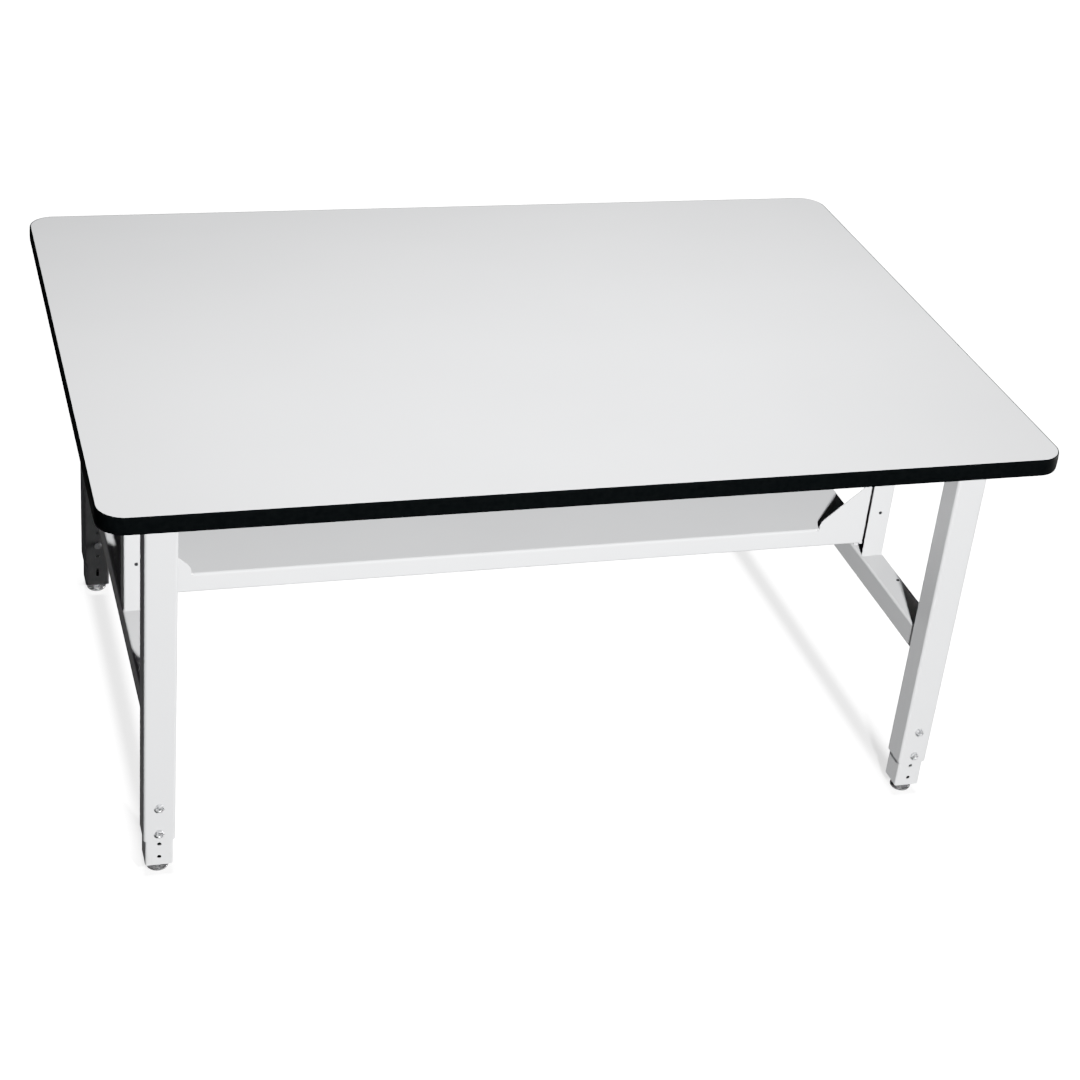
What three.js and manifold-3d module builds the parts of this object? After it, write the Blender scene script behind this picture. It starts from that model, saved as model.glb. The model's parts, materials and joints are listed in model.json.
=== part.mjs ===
// Drafting table: a laminate worktop with a black edge band on two welded steel side frames, tied by a
// folded steel stringer. Each leg telescopes for height and stands on a screw-in levelling glide.
// Millimetres, +Z up. The origin is on the floor under the middle of the worktop, with the front at -Y.
import * as THREE from 'three';
import { mergeVertices } from 'three/addons/utils/BufferGeometryUtils.js';
import Module from 'manifold-3d';

const wasm = await Module();
wasm.setup();

const INCH = 25.4;
const GAP = 0.3; // clearance left between pieces that touch
const HOLE_SEGMENTS = 10;

// ---- driving dimensions ----
const table = { width: 60 * INCH, depth: 42 * INCH, height: 728, cornerRadius: 1.75 * INCH };
const laminate = { thickness: 1.2 };
const backer = { thickness: 1.2 };
const core = { thickness: 25.6 };
const band = { thickness: 3, edgeThickness: 1.9, tongue: 9, tongueThickness: 2, grooveClearance: 0.3 };
const bandRound = { lipInset: 0.5, lipHeight: 1.4, crownInset: 0.15, crownHeight: 7 };

const legSetIn = 4.1 * INCH; // from a side edge of the worktop to the middle of a leg
const frontLegSetBack = 4.8 * INCH; // from the front edge to the middle of a front leg
const rearLegSetBack = 3.9 * INCH; // from the rear edge to the middle of a rear leg
const outerTube = { size: 2 * INCH, wall: 2.1, radius: 5, bottom: 71 };
const innerTube = { size: 1.75 * INCH, wall: 1.9, radius: 4, bottom: 0.8 * INCH, length: 385 };
const railTube = { size: 1.75 * INCH, wall: 1.9, radius: 4 };
const postChannel = { size: 40, wall: 1.9, bendRadius: 1.6 };
const railTop = 12.8 * INCH; // upper face of the lower side rail
const postFront = -6 * INCH; // front face of the post that carries the stringer

const holePitch = INCH;
const lowerBoltZ = outerTube.bottom + 16;
const upperBoltZ = lowerBoltZ + 2 * holePitch;
const clampBoltZ = lowerBoltZ + holePitch;
const heightHole = { diameter: 7.2, count: 11, first: lowerBoltZ - 2 * holePitch };
const levelSlot = { width: 4.5, bottom: 40, top: 57 };
const heightBolt = { shank: 8, headFlats: 0.5 * INCH, headHeight: 6 };
const tipHole = 5.5;

const hexHead = { chamferStart: 0.75, face: 0.86 }; // as parts of the head's height and its corner radius

const plate = { width: 76, thickness: 3, screwInset: 14 };
const topScrew = { shank: 4.5, head: 10, headHeight: 3, grip: 18, spacing: 300 };
const smallScrew = { shank: 4, head: 6.5, headHeight: 1.6, grip: 7 };
const screwShape = { tip: 0.6, tipLength: 0.4, rim: 0.5, crown: 0.72 }; // as parts of the shank and the head
// The rail screw is set back from the worktop's front edge, and lies beside the rail's middle line.
const railScrew = { setBack: 11.55 * INCH, offset: 12 };
const postScrewZ = 16.3 * INCH;

const sheet = { thickness: 1.9, bendRadius: 2.5 };
const stringer = {
  webFront: -5.3 * INCH,
  webBottom: 13.4 * INCH,
  flangeTop: 14.8 * INCH,
  flangeDepth: 165,
  rearLip: 20,
  bottomLip: 14,
  slit: { depth: 4.1, drop: 2.5, overrun: 5 }, // the bend is cut away behind each ear and a little beside it
  tabDepth: 17,
};
const ear = { shoulderHeight: 13, shoulderRadius: 20, slope: THREE.MathUtils.degToRad(42.2) };
const earStart = { left: 565.5, right: 553.6 }; // from the table's middle to where each ear leaves the fold
const stringerBolt = { shank: 6, headFlats: 10, headHeight: 4, grip: 4, lowZ: 353, highZ: 432 };

const pad = { diameter: 36, flatDiameter: 14, rimBottom: 6, rimTop: 7.5, height: 9.5 };
const padTop = { crownInset: 2, crownRise: 0.6, socketWall: 3, socketFloor: 3 };
const stud = { diameter: 9.5, top: 62, chamfer: 1.5, hexFlats: 14, hexHeight: 5 };
const plug = { thickness: 5, bossDiameter: 18, bossHeight: 12 };

// ---- values that follow from them ----
const legX = table.width / 2 - legSetIn;
const legY = { front: frontLegSetBack - table.depth / 2, rear: table.depth / 2 - rearLegSetBack };
const slabBottom = table.height - laminate.thickness - core.thickness - backer.thickness - 2 * GAP;
const coreBottom = slabBottom + backer.thickness + GAP;
const plateTop = slabBottom - GAP;
const frameTop = plateTop - plate.thickness - GAP;
const topRailBottom = frameTop - railTube.size;
const postInnerFace = legX - postChannel.size / 2;
const postOuterFace = legX + postChannel.size / 2;
const flangeEnd = postInnerFace - GAP;
const stringerEnd = postOuterFace - postChannel.wall - GAP;

// ---- outlines: closed lists of points in a plane ----
function roundedRectangle(width, height, radius, segments) {
  const points = [];
  for (let corner = 0; corner < 4; corner += 1) {
    const sx = corner === 0 || corner === 3 ? 1 : -1;
    const sy = corner < 2 ? 1 : -1;
    const cx = sx * (width / 2 - radius);
    const cy = sy * (height / 2 - radius);
    for (let step = 0; step <= segments; step += 1) {
      const angle = (corner + step / segments) * (Math.PI / 2);
      points.push(new THREE.Vector2(cx + radius * Math.cos(angle), cy + radius * Math.sin(angle)));
    }
  }
  return points;
}

// The edge outline of a folded sheet that follows a run of mid-plane corners, each bend rounded.
function foldedSheetOutline(corners, thickness, insideRadius, segments) {
  const radius = insideRadius + thickness / 2;
  const left = [];
  const right = [];
  const addSection = (point, normal) => {
    left.push(point.clone().addScaledVector(normal, thickness / 2));
    right.push(point.clone().addScaledVector(normal, -thickness / 2));
  };
  const normalOf = (direction) => new THREE.Vector2(-direction.y, direction.x);
  const directionFrom = (index) => corners[index + 1].clone().sub(corners[index]).normalize();
  addSection(corners[0], normalOf(directionFrom(0)));
  for (let i = 1; i < corners.length - 1; i += 1) {
    const before = directionFrom(i - 1);
    const after = directionFrom(i);
    const turn = Math.sign(before.cross(after));
    const start = corners[i].clone().addScaledVector(before, -radius);
    const centre = start.clone().addScaledVector(normalOf(before), turn * radius);
    for (let step = 0; step <= segments; step += 1) {
      const angle = (turn * (Math.PI / 2) * step) / segments;
      const normal = normalOf(before).rotateAround(new THREE.Vector2(), angle);
      addSection(centre.clone().addScaledVector(normal, -turn * radius), normal);
    }
  }
  addSection(corners[corners.length - 1], normalOf(directionFrom(corners.length - 2)));
  return left.concat(right.reverse());
}

// The points of a round corner between the sides that run from it toward two neighbours.
function roundCorner(before, corner, after, radius, segments) {
  const toBefore = before.clone().sub(corner).normalize();
  const toAfter = after.clone().sub(corner).normalize();
  const half = Math.acos(toBefore.dot(toAfter)) / 2;
  const middle = toBefore.clone().add(toAfter).normalize();
  const centre = corner.clone().addScaledVector(middle, radius / Math.sin(half));
  const first = corner.clone().addScaledVector(toBefore, radius / Math.tan(half));
  const sweep = (Math.PI - 2 * half) * -Math.sign(toBefore.cross(toAfter));
  const points = [];
  for (let step = 0; step <= segments; step += 1) {
    points.push(first.clone().rotateAround(centre, (sweep * step) / segments));
  }
  return points;
}

// ---- solids ----
const AXES = {
  z: [[1, 0, 0], [0, 1, 0], [0, 0, 1]], // outline in X and Y, length along +Z
  x: [[0, 1, 0], [0, 0, 1], [1, 0, 0]], // outline in Y and Z, length along +X
  y: [[0, 0, 1], [1, 0, 0], [0, 1, 0]], // outline in Z and X, length along +Y
};

function prism(outline, length, axis = 'z', openings = []) {
  const shape = new THREE.Shape(outline);
  openings.forEach((opening) => shape.holes.push(new THREE.Path(opening)));
  const geometry = new THREE.ExtrudeGeometry(shape, { depth: length, bevelEnabled: false });
  const basis = AXES[axis].map((vector) => new THREE.Vector3(...vector));
  return geometry.applyMatrix4(new THREE.Matrix4().makeBasis(...basis));
}

function block(x0, x1, y0, y1, z0, z1) {
  const geometry = new THREE.BoxGeometry(x1 - x0, y1 - y0, z1 - z0);
  return geometry.translate((x0 + x1) / 2, (y0 + y1) / 2, (z0 + z1) / 2);
}

function squareTube({ size, wall, radius }, length, axis) {
  const outside = roundedRectangle(size, size, radius, 3);
  const inside = roundedRectangle(size - 2 * wall, size - 2 * wall, radius - wall, 3);
  return prism(outside, length, axis, [inside]);
}

// A round bar whose length runs along one axis, centred on a point.
function bar(diameter, length, axis, centre, segments = 12) {
  const geometry = new THREE.CylinderGeometry(diameter / 2, diameter / 2, length, segments);
  if (axis === 'z') geometry.rotateX(Math.PI / 2);
  if (axis === 'x') geometry.rotateZ(Math.PI / 2);
  return geometry.translate(...centre);
}

// A turned solid about +Z from radius and height pairs that start and end on the axis, lowest first.
function turned(profile, segments) {
  const points = profile.map(([radius, height]) => new THREE.Vector2(radius, height));
  return new THREE.LatheGeometry(points, segments).rotateX(Math.PI / 2);
}

// A closed ring that follows the worktop's plan: each profile point is an offset from the core and a height.
function planRing(profile, segments) {
  const loops = profile.map(([offset, height]) => {
    const outline = coreOutline(offset, segments);
    return outline.map((point) => [point.x, point.y, height]);
  });
  const around = loops[0].length;
  const index = [];
  loops.forEach((_, i) => {
    const next = (i + 1) % loops.length;
    for (let j = 0; j < around; j += 1) {
      const k = (j + 1) % around;
      const [a, b, c, d] = [i * around + j, i * around + k, next * around + k, next * around + j];
      index.push(a, b, c, a, c, d);
    }
  });
  const geometry = new THREE.BufferGeometry();
  geometry.setAttribute('position', new THREE.Float32BufferAttribute(loops.flat(2), 3));
  geometry.setIndex(index);
  return geometry;
}

function coreOutline(offset, segments) {
  const inset = 2 * (offset - band.thickness);
  const radius = table.cornerRadius + offset - band.thickness;
  return roundedRectangle(table.width + inset, table.depth + inset, radius, segments);
}

function toSolid(geometry) {
  const bare = new THREE.BufferGeometry();
  bare.setAttribute('position', geometry.getAttribute('position'));
  bare.setIndex(geometry.getIndex());
  const merged = mergeVertices(bare);
  const vertProperties = new Float32Array(merged.getAttribute('position').array);
  const triVerts = new Uint32Array(merged.getIndex().array);
  return new wasm.Manifold(new wasm.Mesh({ numProp: 3, vertProperties, triVerts }));
}

function toGeometry(solid) {
  const mesh = solid.getMesh();
  const geometry = new THREE.BufferGeometry();
  geometry.setAttribute('position', new THREE.BufferAttribute(mesh.vertProperties, 3));
  geometry.setIndex(new THREE.BufferAttribute(mesh.triVerts, 1));
  return geometry;
}

const joined = (geometries) => toGeometry(geometries.map(toSolid).reduce((sum, next) => sum.add(next)));

function cut(geometry, tools) {
  const start = toSolid(geometry);
  return toGeometry(tools.map(toSolid).reduce((rest, tool) => rest.subtract(tool), start));
}

// ---- fasteners: built pointing down -Z, with the underside of the head at z = 0 and the head above ----
function hexBolt({ shank, headFlats, headHeight }, grip) {
  const corner = headFlats / Math.sqrt(3);
  const head = turned([
    [0, 0],
    [corner, 0],
    [corner, headHeight * hexHead.chamferStart],
    [corner * hexHead.face, headHeight],
    [0, headHeight],
  ], 6);
  return joined([head, bar(shank, grip + 1, 'z', [0, 0, -(grip - 1) / 2])]);
}

function panScrew({ shank, head, headHeight, grip }, segments = 12) {
  const [radius, headRadius] = [shank / 2, head / 2];
  return turned([
    [0, -grip],
    [radius * screwShape.tip, -grip],
    [radius, -grip + shank * screwShape.tipLength],
    [radius, 0],
    [headRadius, 0],
    [headRadius, headHeight * screwShape.rim],
    [headRadius * screwShape.crown, headHeight],
    [0, headHeight],
  ], segments);
}

// Turns a fastener so that its head faces a direction, and seats the underside of the head at a point.
function seated(geometry, facing, point) {
  const turn = new THREE.Quaternion().setFromUnitVectors(new THREE.Vector3(0, 0, 1), facing);
  return geometry.clone().applyQuaternion(turn).translate(...point);
}

const FRONT = new THREE.Vector3(0, -1, 0);
const REAR = new THREE.Vector3(0, 1, 0);
const DOWN = new THREE.Vector3(0, 0, -1);
const UP = new THREE.Vector3(0, 0, 1);

// ---- finishes ----
const FINISH = {
  laminate: { color: 0xdcdddf, roughness: 0.45, metalness: 0 },
  backer: { color: 0x3a3a3c, roughness: 0.6, metalness: 0 },
  chipboard: { color: 0xb08a5a, roughness: 0.9, metalness: 0 },
  band: { color: 0x121314, roughness: 0.4, metalness: 0 },
  enamel: { color: 0xe6e7e9, roughness: 0.3, metalness: 0.1 },
  zinc: { color: 0xc9ccd0, roughness: 0.3, metalness: 0.9 },
  chrome: { color: 0xd8dadd, roughness: 0.15, metalness: 1 },
  steel: { color: 0x8f9296, roughness: 0.45, metalness: 0.9 },
};

const draftingTable = new THREE.Group();
draftingTable.name = 'drafting_table';

function addPiece(parent, name, geometry, finish) {
  geometry.computeVertexNormals();
  const mesh = new THREE.Mesh(geometry, new THREE.MeshStandardMaterial(FINISH[finish]));
  mesh.name = name;
  parent.add(mesh);
}

function addGroup(name) {
  const group = new THREE.Group();
  group.name = name;
  draftingTable.add(group);
  return group;
}

// ---- worktop: backer, chipboard core and laminate inside one black edge band ----
const SIDES = [['left', -1], ['right', 1]];
const ENDS = [['front', -1], ['rear', 1]];
const PLAN_SEGMENTS = 8;
const screwRows = [['front', -1], ['middle', 0], ['rear', 1]];
const screwX = legX + outerTube.size / 2 - plate.width + plate.screwInset;

function screwHoles(bottom, top) {
  const holes = [];
  SIDES.forEach(([, sx]) => {
    screwRows.forEach(([, row]) => {
      const centre = [sx * screwX, row * topScrew.spacing, (bottom + top) / 2];
      holes.push(bar(topScrew.shank + 2 * GAP, top - bottom, 'z', centre, HOLE_SEGMENTS));
    });
  });
  return holes;
}

function worktop() {
  const group = addGroup('worktop');
  const slab = (thickness, bottom) => prism(coreOutline(0, PLAN_SEGMENTS), thickness).translate(0, 0, bottom);
  const middle = (slabBottom + table.height) / 2;
  const half = band.tongueThickness / 2;
  const groove = planRing([
    [-band.tongue - band.grooveClearance, middle - half - GAP],
    [1, middle - half - GAP],
    [1, middle + half + GAP],
    [-band.tongue - band.grooveClearance, middle + half + GAP],
  ], PLAN_SEGMENTS);
  const pilotTop = plateTop - plate.thickness + topScrew.grip + 1;
  const coreHoles = screwHoles(coreBottom - 1, pilotTop);
  addPiece(group, 'worktop_core', cut(slab(core.thickness, coreBottom), [groove, ...coreHoles]), 'chipboard');
  const backerHoles = screwHoles(slabBottom - 1, coreBottom);
  addPiece(group, 'worktop_backer', cut(slab(backer.thickness, slabBottom), backerHoles), 'backer');
  const laminateBottom = table.height - laminate.thickness;
  addPiece(group, 'worktop_laminate', slab(laminate.thickness, laminateBottom), 'laminate');

  const outer = band.thickness;
  const lip = outer - bandRound.lipInset;
  const crown = outer - bandRound.crownInset;
  const bandRing = planRing([
    [GAP, slabBottom],
    [band.edgeThickness, slabBottom],
    [lip, slabBottom + bandRound.lipHeight],
    [crown, slabBottom + bandRound.crownHeight],
    [outer, middle],
    [crown, table.height - bandRound.crownHeight],
    [lip, table.height - bandRound.lipHeight],
    [band.edgeThickness, table.height],
    [GAP, table.height],
    [GAP, middle + half],
    [-band.tongue, middle + half],
    [-band.tongue, middle - half],
    [GAP, middle - half],
  ], PLAN_SEGMENTS);
  addPiece(group, 'edge_banding', bandRing, 'band');
}

// ---- one telescoping leg; outward is the side of the leg that faces away from the table ----
function outerLeg(x, y, outward) {
  const tube = squareTube(outerTube, frameTop - outerTube.bottom, 'z').translate(x, y, outerTube.bottom);
  const outerFace = y + (outward * outerTube.size) / 2;
  const innerFace = y - (outward * outerTube.size) / 2;
  const boltHole = heightBolt.shank + 2 * GAP;
  const through = 4 * outerTube.wall;
  const tools = [];
  [lowerBoltZ, upperBoltZ].forEach((z) => {
    tools.push(bar(boltHole, through, 'y', [x, outerFace, z]));
    tools.push(bar(tipHole, through, 'y', [x, innerFace, z], HOLE_SEGMENTS));
  });
  tools.push(bar(boltHole, through, 'y', [x, innerFace, clampBoltZ]));
  return cut(tube, tools);
}

function innerLeg(x, y, outward) {
  const tube = squareTube(innerTube, innerTube.length, 'z').translate(x, y, innerTube.bottom);
  const outerFace = y + (outward * innerTube.size) / 2;
  const innerFace = y - (outward * innerTube.size) / 2;
  const through = 4 * innerTube.wall;
  const tools = [];
  for (let i = 0; i < heightHole.count; i += 1) {
    tools.push(bar(heightHole.diameter, through, 'y', [x, outerFace, heightHole.first + i * holePitch], 8));
  }
  const slotHalf = levelSlot.width / 2;
  const slotY = [innerFace - through / 2, innerFace + through / 2];
  tools.push(block(x - slotHalf, x + slotHalf, ...slotY, levelSlot.bottom, levelSlot.top));
  return cut(tube, tools);
}

// The plug that closes the foot of the inner leg, with a threaded boss for the glide.
function legPlug(x, y) {
  const size = innerTube.size - 2 * (innerTube.wall + GAP);
  const outline = roundedRectangle(size, size, innerTube.radius - innerTube.wall - GAP / 2, 2);
  const base = prism(outline, plug.thickness);
  const bossMiddle = plug.thickness + plug.bossHeight / 2;
  const boss = bar(plug.bossDiameter, plug.bossHeight + 1, 'z', [0, 0, bossMiddle], 16);
  const bore = bar(stud.diameter + 2 * GAP, 4 * plug.bossHeight, 'z', [0, 0, 0]);
  return cut(joined([base, boss]), [bore]).translate(x, y, innerTube.bottom + GAP);
}

// The plated foot: a shallow dish that stands on the flat middle of its rounded underside.
function glidePad() {
  const rim = pad.diameter / 2;
  const flat = pad.flatDiameter / 2;
  const socket = stud.diameter / 2 + GAP;
  const dish = [0.25, 0.5, 0.75, 1].map((part) => {
    const angle = part * (Math.PI / 2);
    return [flat + (rim - flat) * Math.sin(angle), pad.rimBottom * (1 - Math.cos(angle))];
  });
  return turned([
    [0, 0],
    [flat, 0],
    ...dish,
    [rim, pad.rimTop],
    [rim - padTop.crownInset, pad.rimTop + padTop.crownRise],
    [socket + padTop.socketWall, pad.height],
    [socket, pad.height],
    [socket, padTop.socketFloor],
    [0, padTop.socketFloor],
  ], 20);
}

// The threaded stud, with the hexagon that a spanner turns, standing in the pad's socket.
function glideStud() {
  const hexBottom = pad.height + GAP;
  const corner = stud.hexFlats / Math.sqrt(3);
  const hex = turned([
    [0, hexBottom],
    [corner, hexBottom],
    [corner, hexBottom + stud.hexHeight],
    [0, hexBottom + stud.hexHeight],
  ], 6);
  const foot = padTop.socketFloor + GAP;
  const radius = stud.diameter / 2;
  const rod = turned([
    [0, foot],
    [radius, foot],
    [radius, stud.top - stud.chamfer],
    [radius - stud.chamfer, stud.top],
    [0, stud.top],
  ], 12);
  return joined([hex, rod]);
}

function leg(end, sy, side, sx) {
  const group = addGroup(`leg_${end}_${side}`);
  const where = `${end}_${side}`;
  const x = sx * legX;
  const y = legY[end];
  addPiece(group, `outer_leg_${where}`, outerLeg(x, y, sy), 'enamel');
  addPiece(group, `inner_leg_${where}`, innerLeg(x, y, sy), 'enamel');
  addPiece(group, `leg_plug_${where}`, legPlug(x, y), 'steel');
  addPiece(group, `glide_pad_${where}`, glidePad().translate(x, y, 0), 'chrome');
  addPiece(group, `glide_stud_${where}`, glideStud().translate(x, y, 0), 'zinc');

  // The bolts stop just short of the inner leg, which stays free to slide past them.
  const grip = (outerTube.size - innerTube.size) / 2 - GAP;
  const outward = sy > 0 ? REAR : FRONT;
  const inward = sy > 0 ? FRONT : REAR;
  const reach = outerTube.size / 2 + GAP / 2;
  const bolt = hexBolt(heightBolt, grip);
  [['lower', lowerBoltZ], ['upper', upperBoltZ]].forEach(([level, z]) => {
    addPiece(group, `height_bolt_${level}_${where}`, seated(bolt, outward, [x, y + sy * reach, z]), 'zinc');
  });
  addPiece(group, `clamp_bolt_${where}`, seated(bolt, inward, [x, y - sy * reach, clampBoltZ]), 'zinc');
}

// ---- the fixed pieces of one side frame ----
// The post is a channel, open toward the middle of the table, that takes in the end of the stringer.
function stringerPost(side, sx) {
  const middle = postChannel.wall / 2;
  const [frontY, rearY] = [postFront + middle, postFront + postChannel.size - middle];
  const [openX, closedX] = [sx * postInnerFace, sx * (postOuterFace - middle)];
  const corners = [[openX, frontY], [closedX, frontY], [closedX, rearY], [openX, rearY]];
  const plan = corners.map(([x, y]) => new THREE.Vector2(x, y));
  const outline = foldedSheetOutline(plan, postChannel.wall, postChannel.bendRadius, 3);
  const height = topRailBottom - railTop - 2 * GAP;
  const through = 4 * postChannel.wall;
  const screwAt = [sx * legX, postFront, postScrewZ];
  const screwHole = bar(smallScrew.shank + 2 * GAP, through, 'y', screwAt, HOLE_SEGMENTS);
  const boltHoles = stringerBoltPlaces(side, sx).map(({ y, z }) => (
    bar(stringerBolt.shank + 2 * GAP, through, 'x', [sx * postOuterFace, y, z], HOLE_SEGMENTS)
  ));
  return cut(prism(outline, height).translate(0, 0, railTop + GAP), [screwHole, ...boltHoles]);
}

function sideFrame(side, sx) {
  const group = addGroup(`side_frame_${side}`);
  const x = sx * legX;
  const railFront = legY.front + outerTube.size / 2 + GAP;
  const railLength = legY.rear - outerTube.size / 2 - GAP - railFront;
  const rail = (bottom) => {
    const tube = squareTube(railTube, railLength, 'y');
    return tube.translate(x, railFront, bottom + railTube.size / 2);
  };

  const screwAt = [x + railScrew.offset, railScrew.setBack - table.depth / 2, railTop];
  const screwHole = bar(smallScrew.shank + 2 * GAP, 4 * railTube.wall, 'z', screwAt, HOLE_SEGMENTS);
  addPiece(group, `side_rail_${side}`, cut(rail(railTop - railTube.size), [screwHole]), 'enamel');
  addPiece(group, `top_rail_${side}`, rail(topRailBottom), 'enamel');
  const seat = [screwAt[0], screwAt[1], railTop + GAP / 2];
  addPiece(group, `rail_screw_${side}`, seated(panScrew(smallScrew, 10), UP, seat), 'steel');

  addPiece(group, `stringer_post_${side}`, stringerPost(side, sx), 'enamel');
  const postSeat = [x, postFront - GAP / 2, postScrewZ];
  addPiece(group, `post_screw_${side}`, seated(panScrew(smallScrew, 10), FRONT, postSeat), 'steel');

  // The plate is wider than the tubes under it, and its inboard wing takes the screws into the worktop.
  const outerEdge = legX + outerTube.size / 2;
  const [x0, x1] = [outerEdge - plate.width, outerEdge].map((value) => sx * value).sort((a, b) => a - b);
  const [y0, y1] = [legY.front - outerTube.size / 2, legY.rear + outerTube.size / 2];
  const strip = block(x0, x1, y0, y1, plateTop - plate.thickness, plateTop);
  const holes = screwHoles(plateTop - plate.thickness - 1, plateTop + 1);
  addPiece(group, `mounting_plate_${side}`, cut(strip, holes), 'enamel');
  screwRows.forEach(([row, sy]) => {
    const place = [sx * screwX, sy * topScrew.spacing, plateTop - plate.thickness - GAP / 2];
    addPiece(group, `top_screw_${row}_${side}`, seated(panScrew(topScrew), DOWN, place), 'zinc');
  });
}

// ---- stringer: a folded sheet between the posts, with an ear and a bolted tab at each end ----
const earTop = (side) => {
  const run = postInnerFace - earStart[side];
  return stringer.flangeTop + ear.shoulderHeight + run * Math.tan(ear.slope);
};

function stringerBoltPlaces(side, sx) {
  const y = stringer.webFront + (sheet.thickness + stringer.tabDepth) / 2;
  const x = sx * (stringerEnd - sheet.thickness - GAP / 2);
  const levels = [['lower', stringerBolt.lowZ], ['upper', stringerBolt.highZ]];
  return levels.map(([level, z]) => ({ level, x, y, z }));
}

// The upright plate at one end: the last stretch of the web, its ear and the tab folded back inside the post.
function stringerEndPieces(side, sx) {
  const t = sheet.thickness;
  const start = earStart[side];
  const top = earTop(side);
  const aboveBend = stringer.webBottom + t + sheet.bendRadius;
  const corner = (x, z) => new THREE.Vector2(z, sx * x);
  const foot = corner(start, aboveBend);
  const shoulder = corner(start, stringer.flangeTop + ear.shoulderHeight);
  const crest = corner(postInnerFace, top);
  const outline = [
    foot,
    ...roundCorner(foot, shoulder, crest, ear.shoulderRadius, 5),
    crest,
    corner(stringerEnd, top),
    corner(stringerEnd, stringer.webBottom),
    corner(flangeEnd, stringer.webBottom),
    corner(flangeEnd, aboveBend),
  ];
  const plateSolid = prism(outline, t, 'y').translate(0, stringer.webFront, 0);
  const [x0, x1] = [stringerEnd - t, stringerEnd].map((value) => sx * value).sort((a, b) => a - b);
  const tabRear = stringer.webFront + stringer.tabDepth;
  const tab = block(x0, x1, stringer.webFront, tabRear, stringer.webBottom, top - t);
  return [plateSolid, tab];
}

function stringerCuts(side, sx) {
  const { depth, drop, overrun } = stringer.slit;
  const span = (from, to) => [sx * from, sx * to].sort((a, b) => a - b);
  const reach = [stringer.webFront - 1, stringer.webFront + depth];
  const above = stringer.flangeTop + 1;
  const belowBend = stringer.flangeTop - sheet.thickness - sheet.bendRadius - 1;
  const start = earStart[side];
  const behindEar = block(...span(start, flangeEnd + 1), ...reach, belowBend, above);
  const besideEar = block(...span(start - overrun, start + 1), ...reach, stringer.flangeTop - drop, above);
  return [behindEar, besideEar];
}

function crossStringer() {
  const t = sheet.thickness;
  const webY = stringer.webFront + t / 2;
  const rearY = stringer.webFront + stringer.flangeDepth - t / 2;
  const lowZ = stringer.webBottom + t / 2;
  const highZ = stringer.flangeTop - t / 2;
  const corners = [
    [stringer.webFront + stringer.bottomLip, lowZ],
    [webY, lowZ],
    [webY, highZ],
    [rearY, highZ],
    [rearY, stringer.flangeTop - stringer.rearLip],
  ].map(([y, z]) => new THREE.Vector2(y, z));
  const outline = foldedSheetOutline(corners, t, sheet.bendRadius, 4);
  const section = prism(outline, 2 * flangeEnd, 'x').translate(-flangeEnd, 0, 0);
  const trimmed = cut(section, SIDES.flatMap(([side, sx]) => stringerCuts(side, sx)));
  const whole = joined([trimmed, ...SIDES.flatMap(([side, sx]) => stringerEndPieces(side, sx))]);
  const boltHoles = SIDES.flatMap(([side, sx]) => stringerBoltPlaces(side, sx).map(({ x, y, z }) => (
    bar(stringerBolt.shank + 2 * GAP, 6 * t, 'x', [x, y, z], HOLE_SEGMENTS)
  )));

  const group = addGroup('stringer_set');
  addPiece(group, 'stringer', cut(whole, boltHoles), 'enamel');
  SIDES.forEach(([side, sx]) => {
    stringerBoltPlaces(side, sx).forEach(({ level, x, y, z }) => {
      const bolt = hexBolt(stringerBolt, stringerBolt.grip);
      const facing = new THREE.Vector3(-sx, 0, 0);
      addPiece(group, `stringer_bolt_${level}_${side}`, seated(bolt, facing, [x, y, z]), 'zinc');
    });
  });
}

worktop();
SIDES.forEach(([side, sx]) => {
  ENDS.forEach(([end, sy]) => leg(end, sy, side, sx));
  sideFrame(side, sx);
});
crossStringer();

export default draftingTable;
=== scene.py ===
import json
import math

import bmesh
import bpy
from mathutils import Matrix, Vector

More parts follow.
